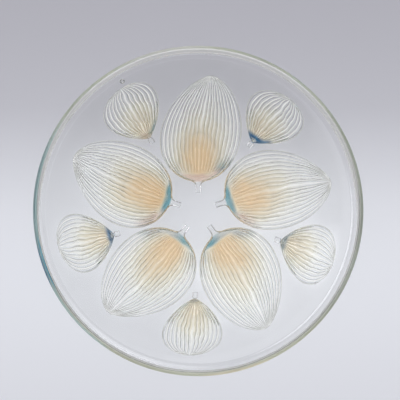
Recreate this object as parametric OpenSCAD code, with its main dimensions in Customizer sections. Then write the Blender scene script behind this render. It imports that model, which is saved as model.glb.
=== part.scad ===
// Round pressed-glass plate: a shallow dished body that stands on leaves moulded in relief under its well.
// Origin on the plate's axis in the plane it stands on, +Z up, millimetres.

/* [Body] */
// Outside diameter of the plate
plate_d = 280; // [200:1:360]
// Thickness of the glass in the well and round the turn
glass_t = 4.2; // [3:0.1:6]
// Inner radius of the turn from the well up into the wall
turn_r = 5.5; // [4:0.5:14]
// Height of the wall above the turn, up to the middle of the rounded lip
wall_h = 6; // [2:0.5:20]
// How much thinner the wall is at the lip than at the turn
wall_draft = 0.8; // [0.2:0.1:1.2]

/* [Leaf relief] */
// Depth of the relief under the well, at which the plate stands
relief_h = 6.5; // [4:0.5:10]
// Glass ground off each crest to make the spot that it stands on
ground_t = 0.3; // [0.1:0.1:0.6]
// Height of the step round a leaf's margin
margin_h = 0.6; // [0.3:0.1:1]
// Depth of the furrows between the veins
furrow_h = 1; // [0.4:0.1:1.4]
// Number of large leaves, with as many small ones between them
leaf_count = 5; // [3:1:6]
// Clear gap between neighbouring large leaves
leaf_gap = 2.4; // [1.5:0.1:5]

/* [Large leaves] */
// Gap from a large leaf's tip to the edge of the well
large_tip_gap = 14.5; // [10.5:0.5:32]
// Width of a large leaf as a share of its length
large_width_share = 0.76; // [0.5:0.02:0.84]
// Veins each side of a large leaf's midrib
large_veins = 10; // [4:1:11]
// Length of the smooth heel that slopes from a large leaf's stalk up to its crest
heel_len = 8; // [4:0.5:14]

/* [Small leaves] */
// Gap from a small leaf's tip to the edge of the well
small_tip_gap = 6.5; // [4.5:0.5:8.5]
// Length of a small leaf as a share of a large one's
small_length_share = 0.54; // [0.4:0.02:0.58]
// Width of a small leaf as a share of its length
small_width_share = 1.04; // [0.6:0.02:1.1]
// Veins each side of a small leaf's midrib
small_veins = 7; // [3:1:8]

/* [Stalks] */
// Length of a large leaf's stalk
stalk_len = 9; // [4:0.5:14]
// Width of every stalk
stalk_w = 4; // [3:0.5:6]
// Height of every stalk
stalk_h = 1.8; // [1.2:0.1:3]

/* [Hidden] */
$fn = 180;

// Cross-section of the turn and the wall, which end in a round lip
turn_outer_r = turn_r + glass_t;
lip_r = (glass_t - wall_draft) / 2;
well_r = plate_d / 2 - turn_outer_r;
turn_centre_z = relief_h + turn_outer_r;

// The outlines and the crest follow u^rise * (1 - u)^fall, u being the share of the length from the base.
// Each pair is [rise, fall]: a large leaf is broadest near its base, a small one near its tip.
large_outline = [0.5, 0.65];
small_outline = [0.85, 0.5];
crest = [0.2, 0.8];
// How far the crest lies below the heel's slope where the furrows reach their full depth, as a share of swell
heel_fade_share = 0.2;
// Power of the arch from one margin over the midrib to the other
arch_power = 0.7;
// How fast the furrows fade where the relief is low
furrow_fade = 0.4;
// Where a furrow's deepest line lies between two veins
furrow_place_share = 0.76;
// How far the tips curve aside, as shares of the leaves' lengths
large_curve_share = 0.12;
small_curve_share = 0.06;
// Shares of the length where the stalk end and the blunt tip cut the outline off
stalk_end_share = 0.006;
tip_end_share = 0.995;
// Steps along a blade, set closer together towards its base and tip
blade_steps = 16;

// The curve u^rise * (1 - u)^fall, scaled so that its highest point is 1
function hump(u, powers) =
    let (rise = powers[0], fall = powers[1], top = rise / (rise + fall))
    pow(u / top, rise) * pow((1 - u) / (1 - top), fall);

// Share of the blade's length at step i
function along(i) =
    stalk_end_share + (tip_end_share - stalk_end_share) * (1 - cos(180 * i / blade_steps)) / 2;

// Half width and sideways curve of a blade at share u, both as shares of its length
function half_width_share(u, outline, width_share) = hump(u, outline) * width_share / 2;
function aside_share(u, curve_share) = curve_share * u * u;

// The large leaves start as near the axis as the gap between their stalks and between their blades allows.
// Each has a sector of the well to itself, whose half width grows by sector_slope with the radius.
leaf_pitch = 360 / leaf_count;
sector_slope = tan(leaf_pitch / 2);
sector_gap = leaf_gap / 2 / cos(leaf_pitch / 2);
large_reach = well_r - large_tip_gap;
large_start_r = max([
    stalk_len + (stalk_w / 2 + sector_gap) / sector_slope,
    for (i = [0:blade_steps])
        let (
            u = along(i),
            blade_share = half_width_share(u, large_outline, large_width_share),
            side_share = blade_share + aside_share(u, large_curve_share)
        )
        (sector_gap + large_reach * (side_share - u * sector_slope)) / ((1 - u) * sector_slope + side_share)
]);
large_len = large_reach - large_start_r;
small_len = large_len * small_length_share;
small_start_r = well_r - small_tip_gap - small_len;

// The first large leaf points along +Y; a small one stands off the middle of the gap, clear of a curved tip
first_leaf_angle = 90;
small_place_share = 0.47;

// Full height of the relief before the crest is ground, and how far a stalk swells towards it
crest_h = relief_h + ground_t;
stalk_swell = (stalk_h - margin_h) / (crest_h - margin_h);

// Swell of a heel's slope at distance x from the base, and the share of their depth that the furrows have where
// the crest swells less than that slope would
function heel_swell(x, heel) = stalk_swell + (1 - stalk_swell) * x / heel;
function furrowed_share(slope, blade) = min(1, max(0, slope - blade) / heel_fade_share);

// Height of the relief where it swells to the given share, with a furrow of the given depth
function relief(swell, depth) = margin_h + (crest_h - margin_h) * swell - depth * pow(swell, furrow_fade);

// Shares of the half width, from the midrib to the margin: vein, furrow, vein, ... vein
function side_lines(veins) = [
    for (k = [0:veins - 1], place = [0, furrow_place_share]) (k + place) / veins,
    1
];

// The same lines from one margin to the other
function cross_lines(veins) =
    let (side = side_lines(veins), last = len(side) - 1)
    concat([for (i = [last:-1:1]) -side[i]], side);

// Cross-section of the body, right of the axis: slab of the well, quarter turn, wall and round lip
module body_section() {
    translate([0, relief_h])
        square([well_r, glass_t]);
    translate([well_r, turn_centre_z]) {
        intersection() {
            difference() {
                circle(turn_outer_r);
                circle(turn_r);
            }
            translate([0, -turn_outer_r])
                square(turn_outer_r);
        }
        polygon([[turn_r, 0], [turn_outer_r, 0], [turn_outer_r, wall_h], [turn_r + wall_draft, wall_h]]);
        translate([turn_outer_r - lip_r, wall_h])
            circle(lip_r);
    }
}

// The clear dished body: one pressed sheet with a flat well and an upturned wall
module plate_body() {
    color("aliceblue", 0.5)
        rotate_extrude()
            body_section();
}

// A leaf lying on z = 0, with its blade's base at the origin, its tip towards +X and its stalk towards -X.
// A smooth heel slopes up from the stalk. From there the veins run side by side to the blunt tip, with furrows
// between them.
module leaf_relief(length, width_share, outline, curve_share, veins, stalk, heel) {
    lines = cross_lines(veins);
    row = len(lines);
    midrib = (row - 1) / 2;

    // Cross rows: place along the leaf, half width, sideways curve, swell and furrow depth
    stalk_rows = [for (x = [-stalk, 0]) [x, stalk_w / 2, 0, stalk_swell, 0]];
    blade_rows = [
        for (i = [0:blade_steps])
            let (u = along(i), blade = hump(u, crest), slope = heel_swell(u * length, heel))
            [
                u * length,
                half_width_share(u, outline, width_share) * length,
                aside_share(u, curve_share) * length,
                min(blade, slope),
                i < blade_steps ? furrow_h * furrowed_share(slope, blade) : 0
            ]
    ];
    rows = concat(stalk_rows, blade_rows);
    last = len(rows) - 1;

    surface = [
        for (r = rows, j = [0:row - 1])
            let (v = lines[j], in_furrow = abs(j - midrib) % 2)
            [r[0], r[2] + v * r[1], relief(r[3] * pow(1 - v * v, arch_power), r[4] * in_furrow)]
    ];
    seat = [for (r = rows, side = [-1, 1]) [r[0], r[2] + side * r[1], 0]];
    first_seat = len(surface);

    // Number of a surface point, and of a seat point on the side of -Y (0) or +Y (1)
    function top(i, j) = i * row + j;
    function low(i, side) = first_seat + 2 * i + side;

    skin = [
        for (i = [0:last - 1], j = [0:row - 2], half = [0, 1])
            half == 0
                ? [top(i, j), top(i, j + 1), top(i + 1, j + 1)]
                : [top(i, j), top(i + 1, j + 1), top(i + 1, j)]
    ];
    margins = [
        for (i = [0:last - 1], side = [0, 1])
            let (j = side * (row - 1), edge = [top(i, j), top(i + 1, j), low(i + 1, side), low(i, side)])
            side == 0 ? edge : [edge[3], edge[2], edge[1], edge[0]]
    ];
    stalk_end = concat([for (j = [row - 1:-1:0]) top(0, j)], [low(0, 0), low(0, 1)]);
    tip_end = concat([for (j = [0:row - 1]) top(last, j)], [low(last, 1), low(last, 0)]);
    seat_faces = [for (i = [0:last - 1]) [low(i, 0), low(i + 1, 0), low(i + 1, 1), low(i, 1)]];

    // The crest is ground flat where it would stand proud of relief_h
    difference() {
        polyhedron(concat(surface, seat), concat(skin, margins, [stalk_end, tip_end], seat_faces));
        translate([0, -length, relief_h])
            cube([length, 2 * length, relief_h]);
    }
}

// A leaf hung under the well, its blade's base at start_r from the plate's axis
module hung_leaf(angle, start_r, length, width_share, outline, curve_share, veins, stalk, heel) {
    color("navajowhite", 0.7)
        rotate([0, 0, angle])
            translate([start_r, 0, relief_h])
                rotate([180, 0, 0])
                    leaf_relief(length, width_share, outline, curve_share, veins, stalk, heel);
}

module large_leaf(i) {
    hung_leaf(
        first_leaf_angle + (i - 1) * leaf_pitch,
        large_start_r, large_len, large_width_share, large_outline, large_curve_share, large_veins,
        stalk_len, heel_len
    );
}

module small_leaf(i) {
    hung_leaf(
        first_leaf_angle + (i - 1 + small_place_share) * leaf_pitch,
        small_start_r, small_len, small_width_share, small_outline, small_curve_share, small_veins,
        stalk_len * small_length_share, heel_len * small_length_share
    );
}

plate_body();
for (i = [1:leaf_count]) {
    large_leaf(i);
    small_leaf(i);
}
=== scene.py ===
import math
from typing import NamedTuple

import bpy
import numpy as np
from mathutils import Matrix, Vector
from mathutils.geometry import delaunay_2d_cdt


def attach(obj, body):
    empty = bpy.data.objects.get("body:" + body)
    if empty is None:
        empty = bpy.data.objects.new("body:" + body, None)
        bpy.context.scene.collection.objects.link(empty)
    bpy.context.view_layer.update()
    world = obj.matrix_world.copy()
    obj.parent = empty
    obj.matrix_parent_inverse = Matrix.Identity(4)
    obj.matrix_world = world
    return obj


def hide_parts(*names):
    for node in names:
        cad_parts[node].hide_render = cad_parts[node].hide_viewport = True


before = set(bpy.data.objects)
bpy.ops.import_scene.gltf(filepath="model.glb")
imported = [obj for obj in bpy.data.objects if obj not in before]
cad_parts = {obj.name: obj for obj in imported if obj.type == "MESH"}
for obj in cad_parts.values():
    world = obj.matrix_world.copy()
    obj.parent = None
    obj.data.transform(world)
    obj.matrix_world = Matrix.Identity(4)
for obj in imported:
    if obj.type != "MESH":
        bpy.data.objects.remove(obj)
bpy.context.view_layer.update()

MM = 0.001

# Sizes of the body, as in the source
plate_r = 140 * MM
glass_t = 4.2 * MM
turn_r = 5.5 * MM
wall_h = 6 * MM
wall_draft = 0.8 * MM
relief_h = 6.5 * MM
turn_outer_r = turn_r + glass_t
lip_r = (glass_t - wall_draft) / 2
well_r = plate_r - turn_outer_r
floor_z = relief_h + glass_t
turn_z = relief_h + turn_outer_r
lip_z = turn_z + wall_h

# Sizes of the leaves, as in the source
ground_t = 0.3 * MM
margin_h = 0.6 * MM
furrow_h = 1.0 * MM
leaf_count = 5
leaf_gap = 2.4 * MM
large_tip_gap = 14.5 * MM
large_width_share = 0.76
large_veins = 10
small_tip_gap = 6.5 * MM
small_length_share = 0.54
small_width_share = 1.04
small_veins = 7
stalk_len = 9 * MM
stalk_w = 4 * MM
stalk_h = 1.8 * MM
heel_len = 8 * MM
large_outline = (0.5, 0.65)
small_outline = (0.85, 0.5)
crest = (0.2, 0.8)
heel_fade_share = 0.2
arch_power = 0.7
furrow_fade = 0.4
large_curve_share = 0.12
small_curve_share = 0.06
stalk_end_share = 0.006
tip_end_share = 0.995
source_blade_steps = 16
first_leaf_angle = math.pi / 2
small_place_share = 0.47
crest_h = relief_h + ground_t
stalk_swell = (stalk_h - margin_h) / (crest_h - margin_h)

# Steps of the meshes
ROUND_STEPS = 256
TURN_STEPS = 12
LIP_STEPS = 12
STALK_STEPS = 8
LARGE_ROWS = 60
SMALL_ROWS = 44
BUBBLE_SIDES = 16
BUBBLE_ROWS = 8
SHARP_DEGREES = 32


# Leaf shapes

# Cross-section of one vein and its furrow, from the vein's crest outwards: place between two crests, depth
# in the furrow, and how far the point belongs to the crest's painted highlight and the steep side's painted
# shade
VEIN_STEPS = (
    (0.00, 0.00, 1.0, 0.0),
    (0.20, 0.10, 1.0, 0.0),
    (0.36, 0.32, 0.2, 0.0),
    (0.52, 0.62, 0.0, 0.1),
    (0.66, 0.95, 0.0, 0.9),
    (0.80, 0.90, 0.0, 1.0),
    (0.92, 0.25, 0.5, 0.3),
)

# The mould was cut by hand: how far a vein lies off its even place and wavers along the leaf, in widths of a
# vein, and by which share a furrow is deeper or shallower than the rest
VEIN_SHIFT = 0.1
VEIN_WAVER = 0.25
FURROW_SPREAD = 0.25

# How fast these change from vein to vein, and the waver along and across the leaf
SHIFT_PACE = 1.3
SPREAD_PACE = 2.9
WAVER_ALONG = 6
WAVER_ACROSS = 2
SHIFT_SEED = 4

# Waves that look irregular together: how fast each runs, and how far it moves from one seed to the next
WAVES = ((1.7, 2.3), (3.1, 5.9), (5.3, 1.1))

# A leaf's edge slopes outwards between its margin and the well, for the mould to let go
MARGIN_DRAFT = 0.3 * MM

# Next to the blade the stalk widens by a share of the step between the two, over about this length
STALK_FLARE = 0.7
FLARE_REACH = 1.0 * MM

# The crest looks ground where it reaches the plane that the plate stands on, or comes this near to it
GROUND_MARGIN = 0.02 * MM

# The heel takes its colours from the side of the leaf's heart that a point lies on: the opal's teal and
# blue, with painted shade and light by the way that side faces. The heart's place along the leaf, as a share
# of its length, and how near to it a point is still on a side
HEART_SHARE = 0.3
HEART_SIZE = 0.001 * MM

# The glass looks like a heel where the crest would swell more than the heel's slope: where that starts
# and is full, as the difference of the two
HEEL_LOOK = (-0.12, 0.3)

# The shoulders beside the heel look like it, more so nearer to the margin and to the base, and on one side
SHOULDER_ACROSS = (0.3, 0.85)
SHOULDER_ALONG = (0.08, 0.34)
SHOULDER_STRONG = 0.9
SHOULDER_WEAK = 0.35

# A small leaf's base looks like a heel by at least this share, up to some lengths of the heel from the base
SPOT_LEAST = 0.35
SPOT_END = (0.8, 2.4)


class Leaf(NamedTuple):
    """One kind of leaf. The width and the sideways curve are shares of the length."""

    start_r: float
    length: float
    width_share: float
    outline: tuple
    curve_share: float
    veins: int
    stalk: float
    heel: float
    rows: int


class Row(NamedTuple):
    """One row across a leaf, at distance x from the blade's base."""

    x: float
    half_width: float
    aside: float
    swell: float

    # Shares of the furrows' full depth and of a heel's look
    furrowed: float
    on_heel: float


def hump(u, powers):
    """The curve u^rise * (1 - u)^fall, scaled so that its highest point is 1."""
    rise, fall = powers
    top = rise / (rise + fall)
    return (u / top) ** rise * ((1 - u) / (1 - top)) ** fall


def blade_shares(steps):
    """Shares of the length from the stalk end to the tip, closer together towards both."""
    eased = (1 - np.cos(np.linspace(0, math.pi, steps + 1))) / 2
    return stalk_end_share + (tip_end_share - stalk_end_share) * eased


def large_start():
    """Radius at which the large leaves start: as near the axis as their blades and stalks allow."""
    half_pitch = math.pi / leaf_count
    slope = math.tan(half_pitch)
    gap = leaf_gap / 2 / math.cos(half_pitch)
    reach = well_r - large_tip_gap
    u = blade_shares(source_blade_steps)
    side = hump(u, large_outline) * large_width_share / 2 + large_curve_share * u * u
    blade = (gap + reach * (side - u * slope)) / ((1 - u) * slope + side)
    return max(stalk_len + (stalk_w / 2 + gap) / slope, blade.max())


def leaf_kinds():
    """The large leaf and the small one."""
    large_start_r = large_start()
    large_len = well_r - large_tip_gap - large_start_r
    small_len = large_len * small_length_share
    large = Leaf(
        start_r=large_start_r, length=large_len, width_share=large_width_share, outline=large_outline,
        curve_share=large_curve_share, veins=large_veins, stalk=stalk_len, heel=heel_len, rows=LARGE_ROWS,
    )
    small = Leaf(
        start_r=well_r - small_tip_gap - small_len, length=small_len, width_share=small_width_share,
        outline=small_outline, curve_share=small_curve_share, veins=small_veins,
        stalk=stalk_len * small_length_share, heel=heel_len * small_length_share, rows=SMALL_ROWS,
    )
    return large, small


def wave(x, seed):
    """A smooth irregular value between -1 and 1, the same each run."""
    return sum(np.sin(x * pace + seed * move) for pace, move in WAVES) / len(WAVES)


def smooth(x, low, high):
    """Smooth step from 0 at low to 1 at high."""
    t = np.clip((x - low) / (high - low), 0, 1)
    return t * t * (3 - 2 * t)


def vein_shift(k, veins, seed):
    """How far vein k lies off its even place, in widths of a vein. The midrib and the margin stay."""
    return 0 if k in (0, veins) else VEIN_SHIFT * wave(k * SHIFT_PACE, seed + SHIFT_SEED)


def vein_lines(veins, seed):
    """Lines from margin to margin: place across the leaf, furrow depth, crest's painted highlight and
    steep side's painted shade.
    """
    side = []
    for k in range(veins):
        shift, next_shift = vein_shift(k, veins, seed), vein_shift(k + 1, veins, seed)
        deeper = 1 + FURROW_SPREAD * wave(k * SPREAD_PACE, seed)
        for step, depth, bright, dark in VEIN_STEPS:
            v = (k + step + shift * (1 - step) + next_shift * step) / veins
            side.append((v, depth * deeper, bright, dark))
    side.append((1, 0, 1, 0))
    mirrored = [(-v, *rest) for v, *rest in reversed(side[1:])]
    return np.array(mirrored + side).T


class Mesh:
    """Points, faces and named point values, gathered before one object is made of them."""

    NAMES = (
        "swell", "along", "crest", "flank", "ground", "heel", "away_x", "away_y", "small", "spot",
        "rim", "wall", "glint",
    )

    def __init__(self):
        self.points, self.faces, self.values = [], [], []

    def add(self, points, **values):
        """Adds points (n, 3) with their named values and returns their numbers."""
        points = np.asarray(points, float).reshape(-1, 3)
        first = len(self.points)
        columns = [np.broadcast_to(values.get(name, 0.0), len(points)) for name in self.NAMES]
        self.points.extend(points.tolist())
        self.values.extend(np.stack(columns, 1).tolist())
        return np.arange(first, first + len(points))

    def face(self, *corners):
        self.faces.append([int(c) for c in corners])

    def grid(self, numbers):
        """Faces between rows of as many points each."""
        for a, b in zip(numbers[:-1], numbers[1:]):
            for j in range(len(a) - 1):
                self.face(a[j], b[j], b[j + 1], a[j + 1])

    def object(self, name):
        mesh = bpy.data.meshes.new(name)
        mesh.from_pydata(self.points, [], self.faces)
        values = np.array(self.values)
        for k, value_name in enumerate(self.NAMES):
            layer = mesh.attributes.new(value_name, "FLOAT", "POINT")
            layer.data.foreach_set("value", values[:, k].astype(np.float32))
        mesh.shade_smooth()
        mesh.set_sharp_from_angle(angle=math.radians(SHARP_DEGREES))
        piece = bpy.data.objects.new(name, mesh)
        bpy.context.scene.collection.objects.link(piece)
        return piece


def place(x, y, height, angle, start_r):
    """From a leaf lying on its seat to the leaf hung under the well at an angle about the axis."""
    out, across = start_r + x, -y
    cos, sin = math.cos(angle), math.sin(angle)
    return np.stack([out * cos - across * sin, out * sin + across * cos, relief_h - height], 1)


def cross_rows(leaf, base_dark):
    """Rows from the stalk's end to the tip. The blade's base looks like a heel by at least base_dark."""
    shares = blade_shares(leaf.rows)
    half_widths = hump(shares, leaf.outline) * leaf.width_share / 2 * leaf.length
    flare = STALK_FLARE * max(0.0, half_widths[0] - stalk_w / 2)
    spot_start, spot_end = (leaf.heel * end for end in SPOT_END)
    rows = []
    for x in np.linspace(-leaf.stalk, 0, STALK_STEPS, endpoint=False):
        half_width = stalk_w / 2 + flare * math.exp(x / FLARE_REACH)
        rows.append(Row(x, half_width, aside=0, swell=stalk_swell, furrowed=0, on_heel=0))
    for share, half_width in zip(shares, half_widths):
        x = share * leaf.length
        blade = hump(share, crest)
        slope = stalk_swell + (1 - stalk_swell) * x / leaf.heel
        furrowed = min(1.0, max(0.0, (slope - blade) / heel_fade_share))
        dark_base = base_dark * (1 - smooth(x, spot_start, spot_end))
        on_heel = float(max(smooth(blade - slope, *HEEL_LOOK), dark_base))
        aside = leaf.curve_share * share**2 * leaf.length
        rows.append(Row(x, half_width, aside, min(blade, slope), furrowed, on_heel))
    return rows


def add_leaf_edge(mesh, leaf, rows, surface, angle):
    """Adds the sloping edge round a leaf, and returns the loop that it leaves on the well's underside."""
    x = np.array([row.x for row in rows])
    x[0] -= MARGIN_DRAFT
    x[-1] += MARGIN_DRAFT
    seats = []
    for side in (-1, 1):
        y = np.array([row.aside + side * (row.half_width + MARGIN_DRAFT) for row in rows])
        seats.append(mesh.add(place(x, y, np.zeros(len(x)), angle, leaf.start_r)))
    low, high = seats
    for i in range(len(rows) - 1):
        mesh.face(surface[i][0], low[i], low[i + 1], surface[i + 1][0])
        mesh.face(surface[i + 1][-1], high[i + 1], high[i], surface[i][-1])
    mesh.face(*surface[0], high[0], low[0])
    mesh.face(*surface[-1][::-1], low[-1], high[-1])
    return list(low) + list(high[::-1])


def add_leaf(mesh, leaf, angle, seed, spot=None):
    """Adds one leaf, and returns the loop of points that it leaves on the well's underside.

    A small leaf has a spot: how dark the glass at its base looks, from 0 to 1, its blue darkened as painted
    shade.
    """
    lines, furrow, bright, dark = vein_lines(leaf.veins, seed)
    flat = np.zeros(len(lines))
    is_small = spot is not None
    base_dark = SPOT_LEAST + (1 - SPOT_LEAST) * spot if is_small else 0.0
    heart_x = HEART_SHARE * leaf.length
    heart_y = leaf.curve_share * HEART_SHARE**2 * leaf.length
    strong_side = -1 if seed % 2 else 1
    rows = cross_rows(leaf, base_dark)
    surface = []
    for row in rows:
        on_blade = row.x > 0
        share = max(row.x, 0) / leaf.length
        waver = VEIN_WAVER / leaf.veins * wave(share * WAVER_ALONG + lines * WAVER_ACROSS, seed)
        waver *= (1 - lines**2) * on_blade
        across = row.aside + (lines + waver) * row.half_width
        arch = row.swell * (1 - lines**2) ** arch_power
        depth = furrow_h * row.furrowed * furrow * arch**furrow_fade
        height = margin_h + (crest_h - margin_h) * arch - depth
        margin = (np.abs(lines) == 1) * on_blade

        away = place(row.x - heart_x + flat, across - heart_y, flat, angle, 0)[:, :2]
        away /= np.maximum(np.hypot(*away.T), HEART_SIZE)[:, None]
        shoulder = smooth(np.abs(lines), *SHOULDER_ACROSS) * (1 - smooth(share, *SHOULDER_ALONG)) * on_blade
        shoulder *= np.where(lines * strong_side > 0, SHOULDER_STRONG, SHOULDER_WEAK)

        points = place(row.x + flat, across, np.minimum(height, relief_h), angle, leaf.start_r)
        surface.append(mesh.add(
            points,
            swell=arch,
            along=share,
            # Painted highlight along the vein crests and the margin, and painted shade on the steep sides
            crest=np.maximum(bright * row.furrowed, margin),
            flank=dark * row.furrowed,
            ground=(height > relief_h - GROUND_MARGIN).astype(float),
            heel=np.maximum(shoulder, row.on_heel),
            away_x=away[:, 0],
            away_y=away[:, 1],
            small=float(is_small),
            spot=spot or 0.0,
        ))
    mesh.grid(surface)
    return add_leaf_edge(mesh, leaf, rows, surface, angle)


# The body

# The lip has the look of an edge, the glass's green tint with painted shade and reflections, which grows
# over the top of the wall and outwards between two radii
EDGE_BAND = 1.5 * MM
EDGE_RADII = (136.5 * MM, 138.8 * MM)

# A painted highlight: a thin bright line along the far side, on the turn and the inner half of the lip.
# Where
# it starts and is full: degrees over the lip from its outside, and degrees round the turn from the well
GLINT_LIP = (99, 119)
GLINT_TURN = (44, 72)

# It fades towards the near side, and where it does it starts further over the lip, by so many degrees.
# Each pair is where it starts and is full, as the sine of the angle round the axis
GLINT_FAR = (-0.15, 0.4)
GLINT_HIGH = (0.3, 0.95)
GLINT_SHIFT = 28

# How far the top of the turn belongs to the painted highlight on the inner face of the wall
TURN_TOP_HIGHLIGHT = 0.6

# Radii of the rings on the well's floor, as shares of the well's
FLOOR_RINGS = (0.93, 0.7, 0.4)

# How flat bubbles in pressed glass are
BUBBLE_FLATNESS = 0.85


class Ring(NamedTuple):
    """One ring of the body."""

    radius: float
    height: float

    # How far it belongs to the painted highlight on the inner face of the wall
    pale: float = 0.0

    # Degrees over the lip from its outside, and round the turn from the well
    over_lip: float = 0.0
    round_turn: float = 0.0


def body_profile():
    """Rings from the well's edge underneath, round the outside and the lip, to the well's floor."""
    turn = np.radians(np.linspace(0, 90, TURN_STEPS + 1))
    over = np.radians(np.linspace(0, 180, LIP_STEPS + 1))
    wall_in_r = well_r + turn_r + wall_draft * (1 - EDGE_BAND / wall_h)
    rings = []
    for a in turn:
        rings.append(Ring(well_r + turn_outer_r * math.sin(a), turn_z - turn_outer_r * math.cos(a)))
    rings.append(Ring(plate_r, lip_z - EDGE_BAND))
    for a in over:
        radius, height = plate_r - lip_r + lip_r * math.cos(a), lip_z + lip_r * math.sin(a)
        rings.append(Ring(radius, height, pale=float(a == over[-1]), over_lip=math.degrees(a)))
    rings.append(Ring(wall_in_r, lip_z - EDGE_BAND, pale=1, over_lip=180, round_turn=90))
    for a in turn[::-1]:
        radius, height = well_r + turn_r * math.sin(a), turn_z - turn_r * math.cos(a)
        rings.append(Ring(radius, height, pale=TURN_TOP_HIGHLIGHT * (a == turn[-1]), round_turn=math.degrees(a)))
    for share in FLOOR_RINGS:
        rings.append(Ring(well_r * share, floor_z))
    return rings


def add_body(mesh):
    """Adds the turn, wall, lip and well floor, and returns the ring where the well's underside ends."""
    turns = np.arange(ROUND_STEPS) * 2 * math.pi / ROUND_STEPS
    far = smooth(np.sin(turns), *GLINT_FAR)
    shift = GLINT_SHIFT * (1 - smooth(np.sin(turns), *GLINT_HIGH))
    rows = []
    for ring in body_profile():
        x, y = ring.radius * np.cos(turns), ring.radius * np.sin(turns)
        # The edge's painted tint, shade and reflections grow over the lip's top
        rim = np.interp(ring.radius, EDGE_RADII, (0, 1)) * smooth(ring.height, lip_z - EDGE_BAND, lip_z)
        # Painted highlight of the far side's bright line, over the lip and round the turn
        on_lip = smooth(ring.over_lip - shift, *GLINT_LIP)
        on_turn = smooth(ring.round_turn, *GLINT_TURN)
        numbers = mesh.add(
            np.stack([x, y, np.full(ROUND_STEPS, ring.height)], 1),
            rim=rim, wall=ring.pale, glint=far * np.maximum(on_lip, on_turn),
        )
        rows.append(np.append(numbers, numbers[0]))
    mesh.grid([row[::-1] for row in rows])
    (middle,) = mesh.add([[0, 0, floor_z]])
    for a, b in zip(rows[-1][:-1], rows[-1][1:]):
        mesh.face(a, b, middle)
    return rows[0][:-1]


def inside(points, loop):
    """Which of the points (n, 2) lie inside a closed loop."""
    x, y = points.T
    result = np.zeros(len(points), bool)
    for (x0, y0), (x1, y1) in zip(loop, np.roll(loop, -1, 0)):
        if y0 != y1:
            result ^= ((y0 > y) != (y1 > y)) & (x < (x1 - x0) * (y - y0) / (y1 - y0) + x0)
    return result


# The triangulation fills what its edges enclose, and merges points that are as near as this
FILL_ENCLOSED = 1
MERGE_DISTANCE = 1e-9


def add_underside(mesh, outer, loops):
    """Fills the well's underside between the outer ring and the leaves' loops."""
    numbers = [n for loop in (outer, *loops) for n in loop]
    flat = [Vector(mesh.points[n][:2]) for n in numbers]
    edges, start = [], 0
    for loop in (outer, *loops):
        edges += [(start + k, start + (k + 1) % len(loop)) for k in range(len(loop))]
        start += len(loop)
    made, _, triangles, origin, _, _ = delaunay_2d_cdt(flat, edges, [], FILL_ENCLOSED, MERGE_DISTANCE)
    numbers = [numbers[o[0]] for o in origin]
    triangles = np.array(triangles)
    centres = np.array([point[:] for point in made])[triangles].mean(1)
    keep = np.ones(len(triangles), bool)
    for loop in loops:
        keep &= ~inside(centres, np.array([mesh.points[n][:2] for n in loop]))
    for a, b, c in triangles[keep]:
        mesh.face(numbers[c], numbers[b], numbers[a])


def add_bubble(mesh, x, y, z, radius):
    """Adds a bubble of air: a flattened closed shell that faces inwards."""
    turns = np.arange(BUBBLE_SIDES) * 2 * math.pi / BUBBLE_SIDES
    half_height = radius * BUBBLE_FLATNESS
    rows = []
    for tilt in np.linspace(0, math.pi, BUBBLE_ROWS + 1)[1:-1]:
        out = radius * math.sin(tilt)
        height = np.full(BUBBLE_SIDES, z + half_height * math.cos(tilt))
        numbers = mesh.add(np.stack([x + out * np.cos(turns), y + out * np.sin(turns), height], 1))
        rows.append(np.append(numbers, numbers[0]))
    mesh.grid([row[::-1] for row in rows])
    top, bottom = mesh.add([[x, y, z + half_height], [x, y, z - half_height]])
    for s in range(BUBBLE_SIDES):
        mesh.face(top, rows[0][s + 1], rows[0][s])
        mesh.face(bottom, rows[-1][s], rows[-1][s + 1])


# How dark the spot at each small leaf's base looks, its blue darkened as painted shade, and what sets the
# small leaves' irregularities off from the large ones'
SPOTS = (0.35, 0.9, 0.2, 0.6, 1.0)
SMALL_SEED = 10

# Bubbles in the well: x, y and radius in millimetres
BUBBLES = ((-64.9, 110.8, 2.1), (100, -61.8, 1.0), (-111, 79, 0.7), (64, -93, 0.6))


def build_plate():
    mesh = Mesh()
    outer = add_body(mesh)
    large, small = leaf_kinds()
    pitch = 2 * math.pi / leaf_count
    loops = []
    for i in range(leaf_count):
        angle = first_leaf_angle + i * pitch
        loops.append(add_leaf(mesh, large, angle, i))
        loops.append(add_leaf(mesh, small, angle + small_place_share * pitch, i + SMALL_SEED, SPOTS[i]))
    add_underside(mesh, outer, loops)
    for x, y, radius in BUBBLES:
        add_bubble(mesh, x * MM, y * MM, floor_z - glass_t / 2, radius * MM)
    return mesh.object("glass_plate")


# Materials

# Sockets of a Mix node for colours
MIX_A, MIX_B, MIX_RESULT = 6, 7, 2


def colour(r, g, b):
    return (r, g, b, 1.0)


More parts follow.
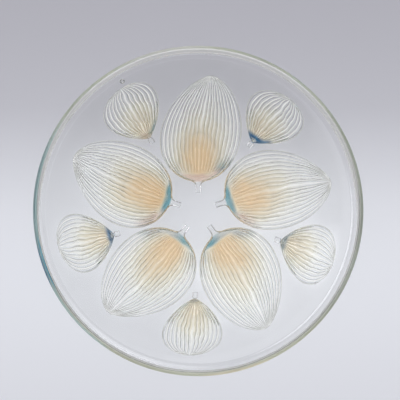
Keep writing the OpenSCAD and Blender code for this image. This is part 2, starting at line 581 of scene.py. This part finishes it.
class Nodes:
    """Short calls for building a node tree."""

    def __init__(self, tree):
        self.tree = tree
        tree.nodes.clear()

    def fill(self, socket, value):
        if isinstance(value, bpy.types.NodeSocket):
            self.tree.links.new(value, socket)
        else:
            socket.default_value = value

    def add(self, kind, links=None, **settings):
        """A node with its settings, and its inputs by name or number: a socket is linked, a value is set."""
        node = self.tree.nodes.new(kind)
        for key, value in settings.items():
            setattr(node, key, value)
        for key, value in (links or {}).items():
            self.fill(node.inputs[key], value)
        return node

    def value(self, name):
        """A named value of the mesh's points."""
        return self.add("ShaderNodeAttribute", attribute_name=name).outputs["Fac"]

    def math(self, operation, a, b=0.0):
        return self.add("ShaderNodeMath", {0: a, 1: b}, operation=operation).outputs[0]

    def plus(self, a, b):
        return self.math("ADD", a, b)

    def minus(self, a, b):
        return self.math("SUBTRACT", a, b)

    def times(self, a, b):
        return self.math("MULTIPLY", a, b)

    def most(self, first, *others):
        """The largest of several values."""
        for other in others:
            first = self.math("MAXIMUM", first, other)
        return first

    def without(self, value, share, whole=1.0):
        """What is left of a whole when a share of a value is taken away."""
        return self.minus(whole, self.times(value, share))

    def step(self, source, low, high, to_low=0.0, to_high=1.0):
        """Smooth step of a value, from to_low at low to to_high at high."""
        links = {"Value": source, "From Min": low, "From Max": high, "To Min": to_low, "To Max": to_high}
        return self.add("ShaderNodeMapRange", links, interpolation_type="SMOOTHSTEP").outputs["Result"]

    def facing(self, vector, direction):
        """How far a vector reaches in a direction."""
        links = {0: vector, 1: Vector(direction).normalized()}
        return self.add("ShaderNodeVectorMath", links, operation="DOT_PRODUCT").outputs["Value"]

    def mix(self, share, a, b):
        """Mix of two colours."""
        links = {0: share, MIX_A: a, MIX_B: b}
        return self.add("ShaderNodeMix", links, data_type="RGBA").outputs[MIX_RESULT]

    def mix_shader(self, share, a, b):
        return self.add("ShaderNodeMixShader", {0: share, 1: a, 2: b}).outputs[0]

    def noise(self, vector, scale, detail=2.0):
        links = {"Vector": vector, "Scale": scale, "Detail": detail}
        return self.add("ShaderNodeTexNoise", links).outputs["Fac"]

    def drift(self, vector, scale, amount):
        """Noise round 0."""
        return self.times(self.minus(self.noise(vector, scale, detail=3.0), 0.5), amount)


def new_material(name):
    material = bpy.data.materials.new(name)
    material.use_nodes = True
    return material, Nodes(material.node_tree)


WHITE = colour(1, 1, 1)
BLACK = colour(0, 0, 0)

# The opal follows the relief's height, drifts a little off it as the melt flowed, and wanes towards the tip.
# Each pair is where a colour starts and is full. Small leaves are less amber
MELT_SCALE = 30.0
MELT_DRIFT = 0.4
TIP_WANE = 0.25
CREAM_RANGE = (0.2, 0.72)
AMBER_RANGE = (0.45, 1.0)
SMALL_LESS_AMBER = 0.55


def opal_shares(n, where):
    """How cream and how amber the glass is."""
    core = n.plus(n.value("swell"), n.drift(where, MELT_SCALE, MELT_DRIFT))
    core = n.minus(core, n.times(n.value("along"), TIP_WANE))
    cream = n.step(core, *CREAM_RANGE)
    amber = n.times(n.step(core, *AMBER_RANGE), n.without(n.value("small"), SMALL_LESS_AMBER))
    return cream, amber


# Steep heels have the opal's teal and blue, with painted shade and light by the way that they face, and a
# ragged edge
TEAL = colour(0.2, 0.47, 0.52)
DARK_TEAL = colour(0.04, 0.25, 0.36)
BLUE = colour(0.0, 0.2, 0.5)
PEACH_PAINTED_LIGHT = colour(1.0, 0.7, 0.56)
GREY_PAINTED_SHADE = colour(0.62, 0.66, 0.66)
RAGGED_SCALE = 90.0
RAGGED_DRIFT = 0.9
HEEL_RANGE = (0.15, 1.0)
DARK_TEAL_RANGE = (0.6, 1.1)
SPOT_RANGE = (0.2, 0.9)
SIDEWAYS_RANGE = (0.35, 0.8)
TO_FRONT_RANGE = (-0.55, -0.9)


def heel_look(n, where):
    """How far the glass looks like a heel, and the heel's colour with its painted shade and light."""
    depth = n.plus(n.value("heel"), n.drift(where, RAGGED_SCALE, RAGGED_DRIFT))
    heel = n.step(depth, *HEEL_RANGE)
    spot = n.step(n.value("spot"), *SPOT_RANGE)
    sideways = n.most(spot, n.step(n.math("ABSOLUTE", n.value("away_x")), *SIDEWAYS_RANGE))
    to_front = n.minus(n.step(n.value("away_y"), *TO_FRONT_RANGE), spot)
    teal = n.mix(n.step(depth, *DARK_TEAL_RANGE), TEAL, DARK_TEAL)
    # Painted shade and light by facing: grey sideways, peach towards the front
    tint = n.mix(sideways, GREY_PAINTED_SHADE, n.mix(spot, teal, BLUE))
    return heel, n.mix(to_front, tint, PEACH_PAINTED_LIGHT)


# Clear glass and its tints, painted shade on the furrows' steep sides, less in amber, ground crests and
# ripples
CLEAR_TINT = colour(0.928, 0.927, 0.926)
CREAM_TINT = colour(0.965, 0.95, 0.84)
AMBER_TINT = colour(0.97, 0.8, 0.545)
FLANK_PAINTED_SHADE = colour(0.3, 0.31, 0.33)
FLANK_SHARE = 0.85
FLANK_LESS_IN_AMBER = 0.65
GROUND_RANGE = (0.3, 0.9)
GROUND_ROUGHNESS = 0.35
GLASS_IOR = 1.51
RIPPLE_STRENGTH = 0.12
RIPPLE_DEPTH = 0.6 * MM


def tinted_glass(n, where, cream, amber, heel, heel_tint_and_shade):
    tint = n.mix(cream, CLEAR_TINT, CREAM_TINT)
    tint = n.mix(amber, tint, AMBER_TINT)
    tint = n.mix(heel, tint, heel_tint_and_shade)
    # Painted shade on the furrows' steep sides
    flank = n.times(n.value("flank"), n.without(amber, FLANK_LESS_IN_AMBER, FLANK_SHARE))
    ripples = n.add("ShaderNodeBump", {
        "Height": n.noise(where, MELT_SCALE),
        "Strength": RIPPLE_STRENGTH,
        "Distance": RIPPLE_DEPTH,
    })
    return n.add("ShaderNodeBsdfPrincipled", {
        "Base Color": n.mix(flank, tint, FLANK_PAINTED_SHADE),
        "Roughness": n.step(n.value("ground"), *GROUND_RANGE, 0.0, GROUND_ROUGHNESS),
        "IOR": GLASS_IOR,
        "Transmission Weight": 1.0,
        "Normal": ripples.outputs["Normal"],
    }).outputs[0]


# Colours of the edge, on top of the lip and on its inner side, one over the other: the glass's green tint
# with painted shade and painted reflections on each side of the plate. Each has a direction from the axis,
# how far out in that direction it starts and is full, in radii of the plate, and the colour
EDGE_TOP_PAINTED = colour(0.62, 0.66, 0.56)
TOP_PAINTED_LIGHT = (
    ((-0.2, 0.98, 0), 0.93, 0.995, colour(0.84, 0.85, 0.8)),
    ((0, -1, 0), 0.3, 0.9, colour(0.68, 0.7, 0.56)),
    ((1, -0.05, 0), 0.7, 0.99, colour(0.43, 0.47, 0.41)),
    ((-0.77, -0.64, 0), 0.93, 0.98, colour(0.57, 0.71, 0.68)),
    ((-1, 0.05, 0), 0.82, 0.97, colour(0.3, 0.43, 0.46)),
    ((-0.94, -0.34, 0), 0.982, 0.995, colour(0.06, 0.2, 0.34)),
    ((0.25, -0.97, 0), 0.962, 0.985, colour(0.92, 0.86, 0.66)),
)
EDGE_INSIDE_PAINTED = colour(0.72, 0.74, 0.68)
INSIDE_PAINTED_LIGHT = (
    ((0, 1, 0), 0.1, 0.5, colour(0.76, 0.78, 0.72)),
    ((0, -1, 0), 0.4, 0.8, colour(0.87, 0.88, 0.78)),
    ((-1, 0.05, 0), 0.8, 0.93, colour(0.58, 0.8, 0.8)),
    ((-0.95, -0.33, 0), 0.965, 0.975, colour(0.22, 0.54, 0.7)),
)

# Where the edge's painted look starts, is as milky as it gets, and passes from inner colours to the top's
EDGE_START = (0.0, 0.1)
EDGE_PAINT_RANGE = (0.0, 0.25)
EDGE_TOP_RANGE = (0.3, 0.9)


def edge_painted_light(n, where, base, colours):
    """The edge's base colour with painted shade and reflections over it, each on its own side of the plate.
    """
    result = base
    for direction, start, full, tint in colours:
        near = n.step(n.facing(where, direction), start * plate_r, full * plate_r)
        result = n.mix(near, result, tint)
    return result


# Opal scatters light like milk. The same milk draws the vein crests' painted highlight, the edge's green
# tint with painted shade and reflections, and the far side's painted bright line. How milky each is, how
# much weaker the crest highlights are in amber and on heels, and how dark the heels' painted shade is
CREAM_MILK = colour(0.8, 0.775, 0.625)
AMBER_MILK = colour(0.74, 0.556, 0.35)
CREST_HIGHLIGHT = colour(0.98, 0.98, 0.98)
CREAM_MILKY = 0.45
AMBER_MILKY = 0.85
CREST_HIGHLIGHT_SHARE = 0.8
EDGE_PAINT_SHARE = 0.75
GLINT_HIGHLIGHT_SHARE = 0.9
CREST_LESS_IN_AMBER = 0.85
CREST_LESS_ON_HEEL = 0.85
HEEL_PAINTED_SHADE = 0.35

# Share of the milk that lets light through, which the painted highlights lower
SEE_THROUGH = 0.3
CREST_OPAQUE = 0.5


def milk_and_painted_light(n, where, cream, amber, heel, heel_tint_and_shade):
    """The shader of the opal's scattering with the painted highlights and shade, and how far the glass shows
    it.
    """
    # Painted highlight: white lines on the vein crests and the leaves' margins
    crest_highlight = n.times(n.value("crest"), n.without(amber, CREST_LESS_IN_AMBER))
    crest_highlight = n.times(crest_highlight, n.without(heel, CREST_LESS_ON_HEEL))
    rim, glint = n.value("rim"), n.value("glint")
    bright = n.most(glint, n.value("wall"))
    inside_edge_paint = edge_painted_light(n, where, EDGE_INSIDE_PAINTED, INSIDE_PAINTED_LIGHT)
    top_edge_paint = edge_painted_light(n, where, EDGE_TOP_PAINTED, TOP_PAINTED_LIGHT)

    milk_and_paint = n.mix(amber, CREAM_MILK, AMBER_MILK)
    # Heels: their tint with painted shade, darkened towards black
    milk_and_paint = n.mix(heel, milk_and_paint, n.mix(HEEL_PAINTED_SHADE, heel_tint_and_shade, BLACK))
    milk_and_paint = n.mix(crest_highlight, milk_and_paint, CREST_HIGHLIGHT)
    # The edge: the glass's green tint with painted shade and reflections by side
    milk_and_paint = n.mix(n.step(rim, *EDGE_START), milk_and_paint, n.mix(n.step(rim, *EDGE_TOP_RANGE), inside_edge_paint, top_edge_paint))
    # Painted highlight: the far side's bright line and the wall's inner face
    milk_and_paint = n.mix(bright, milk_and_paint, WHITE)

    see_through = n.times(n.minus(1.0, n.most(glint, n.times(crest_highlight, CREST_OPAQUE))), SEE_THROUGH)
    diffuse = n.add("ShaderNodeBsdfDiffuse", {"Color": milk_and_paint}).outputs[0]
    translucent = n.add("ShaderNodeBsdfTranslucent", {"Color": milk_and_paint}).outputs[0]
    milk_and_paint_share = n.most(
        n.times(cream, CREAM_MILKY),
        n.times(amber, AMBER_MILKY),
        n.times(crest_highlight, CREST_HIGHLIGHT_SHARE),
        n.step(rim, *EDGE_PAINT_RANGE, 0.0, EDGE_PAINT_SHARE),
        n.times(bright, GLINT_HIGHLIGHT_SHARE),
    )
    return n.mix_shader(see_through, diffuse, translucent), milk_and_paint_share


CREAM_SHADOW = colour(0.95, 0.9, 0.82)
ABSORPTION_COLOUR = colour(0.75, 0.82, 0.7)
ABSORPTION_DENSITY = 10.0


def glass_material():
    """Clear glass, opalescent where the leaves are thick: amber in their hearts, cream round them."""
    material, n = new_material("opalescent_glass_and_painted_light")
    where = n.add("ShaderNodeTexCoord").outputs["Object"]
    cream, amber = opal_shares(n, where)
    heel, heel_tint_and_shade = heel_look(n, where)
    glass = tinted_glass(n, where, cream, amber, heel, heel_tint_and_shade)
    milk_and_paint, milk_and_paint_share = milk_and_painted_light(n, where, cream, amber, heel, heel_tint_and_shade)
    # The milk layer carries the opal and the painted highlights and shade
    surface = n.mix_shader(milk_and_paint_share, glass, milk_and_paint)

    # Lamps shine through the glass on what lies under it
    is_shadow = n.add("ShaderNodeLightPath").outputs["Is Shadow Ray"]
    shadow = n.add("ShaderNodeBsdfTransparent", {"Color": n.mix(cream, WHITE, CREAM_SHADOW)}).outputs[0]
    absorption = n.add("ShaderNodeVolumeAbsorption", {
        "Color": ABSORPTION_COLOUR,
        "Density": ABSORPTION_DENSITY,
    })
    n.add("ShaderNodeOutputMaterial", {
        "Surface": n.mix_shader(is_shadow, surface, shadow),
        "Volume": absorption.outputs[0],
    })
    return material


# Painted shade: the floor's colour darkens from the near side to the far one, in place of light that falls
# off. Place along Y, darkness from 0 (light) to 1 (dark)
FLOOR_PAINTED_SHADE = (
    (-0.2, 0.28),
    (-0.13, 0.14),
    (-0.06, 0.0),
    (0.0, 0.1),
    (0.045, 0.43),
    (0.09, 0.78),
    (0.2, 1.0),
)
FLOOR_LIGHT = colour(0.8, 0.815, 0.86)
FLOOR_PAINTED_DARK = colour(0.42, 0.416, 0.458)
FLOOR_ROUGHNESS = 0.8


def floor_material():
    material, n = new_material("pale_floor_painted_shade")
    where = n.add("ShaderNodeTexCoord").outputs["Object"]
    place_y = n.add("ShaderNodeSeparateXYZ", {"Vector": where}).outputs["Y"]
    low, high = FLOOR_PAINTED_SHADE[0][0], FLOOR_PAINTED_SHADE[-1][0]
    share = n.add("ShaderNodeMapRange", {"Value": place_y, "From Min": low, "From Max": high})
    ramp = n.add("ShaderNodeValToRGB", {"Fac": share.outputs["Result"]})
    ramp.color_ramp.interpolation = "B_SPLINE"
    stops = ramp.color_ramp.elements
    while len(stops) < len(FLOOR_PAINTED_SHADE):
        stops.new(0.5)
    # Each stop mixes in painted shade by its darkness
    for stop, (y, dark) in zip(stops, FLOOR_PAINTED_SHADE):
        stop.position = (y - low) / (high - low)
        stop.color = [a + (b - a) * dark for a, b in zip(FLOOR_LIGHT, FLOOR_PAINTED_DARK)]
    paper = n.add("ShaderNodeBsdfPrincipled", {
        "Base Color": ramp.outputs["Color"],
        "Roughness": FLOOR_ROUGHNESS,
    })
    n.add("ShaderNodeOutputMaterial", {"Surface": paper.outputs[0]})
    return material


plate = build_plate()
plate.data.materials.append(glass_material())
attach(plate, "root")
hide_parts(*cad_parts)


# The studio

# The floor reaches this far each way, a little under the plane that the plate stands on
FLOOR_HALF = 4.0
FLOOR_DROP = 0.3 * MM

# One even soft light from above that reaches the whole floor: its width is the angle that it comes from
SKY_STRENGTH = 2.83
SKY_TINT = (1.0, 1.0, 1.02)
SKY_DEGREES = 170
SKY_HEIGHT = 2.5

# What the glass mirrors and bends: bright haze low down, and a dim room above it, darker on the far side.
# Each pair is where the room or its far side starts and is full, by how far a direction points that way
HAZE = colour(1.3, 1.3, 1.35)
NEAR_ROOM = colour(0.5, 0.5, 0.54)
FAR_ROOM = colour(0.1, 0.1, 0.11)
ROOM_UP = (0.1, 0.5)
ROOM_FAR = (-0.02, 0.08)

# Windows in that room: direction, where they start and are full (as cosines) and radiance
WINDOW_TINT = (1.0, 1.0, 1.05)
WINDOWS = (
    ((0.38, 0.76, 0.5), 0.84, 0.95, 2.0),
    ((0.44, 0.9, 0.04), 0.95, 0.985, 3.6),
    ((-0.31, 0.16, 0.94), 0.965, 0.985, 3.4),
    ((0, -1, 0.08), 0.93, 0.97, 2.0),
    ((0.03, -0.03, 1), 0.998, 0.9997, 1.3),
    ((0.084, -0.039, 1), 0.9996, 0.9999, 1.9),
)

# Photograph: 400 pixels square, the plate's circle centred at (198.2, 211) with a radius of 165.2 pixels
PHOTO_SIZE = 400
CIRCLE_X, CIRCLE_Y, CIRCLE_R = 198.2, 211.0, 165.2
CAMERA_DISTANCE = 1.4
SENSOR_WIDTH = 36


def add_floor():
    mesh = bpy.data.meshes.new("floor")
    corners = [(-1, -1), (1, -1), (1, 1), (-1, 1)]
    mesh.from_pydata([(x * FLOOR_HALF, y * FLOOR_HALF, -FLOOR_DROP) for x, y in corners], [], [(0, 1, 2, 3)])
    floor = bpy.data.objects.new("floor", mesh)
    bpy.context.scene.collection.objects.link(floor)
    mesh.materials.append(floor_material())


def add_sky_dome():
    light = bpy.data.lights.new("sky_dome", "SUN")
    light.energy = SKY_STRENGTH
    light.angle = math.radians(SKY_DEGREES)
    light.color = SKY_TINT
    light.cycles.use_multiple_importance_sampling = False
    lamp = bpy.data.objects.new("sky_dome", light)
    lamp.location = (0, 0, SKY_HEIGHT)
    bpy.context.scene.collection.objects.link(lamp)


def add_world():
    """The room and its windows. They show in the glass but light nothing: the sky dome does that."""
    world = bpy.data.worlds.new("studio")
    world.use_nodes = True
    n = Nodes(world.node_tree)
    way = n.add("ShaderNodeTexCoord").outputs["Generated"]
    room = n.mix(n.step(n.facing(way, (0, 1, 0)), *ROOM_FAR), NEAR_ROOM, FAR_ROOM)
    light = n.mix(n.step(n.facing(way, (0, 0, 1)), *ROOM_UP), HAZE, room)
    for direction, start, full, radiance in WINDOWS:
        window = colour(*[radiance * c for c in WINDOW_TINT])
        light = n.mix(n.step(n.facing(way, direction), start, full), light, window)
    background = n.add("ShaderNodeBackground", {"Color": light, "Strength": 1.0})
    n.add("ShaderNodeOutputWorld", {"Surface": background.outputs[0]})
    bpy.context.scene.world = world
    world.cycles_visibility.diffuse = False


def add_camera():
    """Looks straight down on the plate, +Y at the image's top, the circle where the photograph has it."""
    data = bpy.data.cameras.new("camera")
    camera = bpy.data.objects.new("camera", data)
    pixel = plate_r / CIRCLE_R
    data.sensor_width = SENSOR_WIDTH
    data.lens = SENSOR_WIDTH * CAMERA_DISTANCE / (PHOTO_SIZE * pixel)
    camera.location = (
        (PHOTO_SIZE / 2 - CIRCLE_X) * pixel,
        (CIRCLE_Y - PHOTO_SIZE / 2) * pixel,
        lip_z + CAMERA_DISTANCE,
    )
    data.dof.use_dof = False
    bpy.context.scene.collection.objects.link(camera)
    bpy.context.scene.camera = camera


def set_light_paths():
    """Enough bounces for thick glass on a pale floor, no caustics, and colours shown as they are."""
    scene = bpy.context.scene
    scene.view_settings.view_transform = "Standard"
    scene.cycles.use_denoising = True
    scene.cycles.max_bounces = 18
    scene.cycles.transmission_bounces = 16
    scene.cycles.transparent_max_bounces = 16
    scene.cycles.caustics_reflective = False
    scene.cycles.caustics_refractive = False
    scene.cycles.sample_clamp_indirect = 4.0


add_floor()
add_world()
add_sky_dome()
add_camera()
set_light_paths()
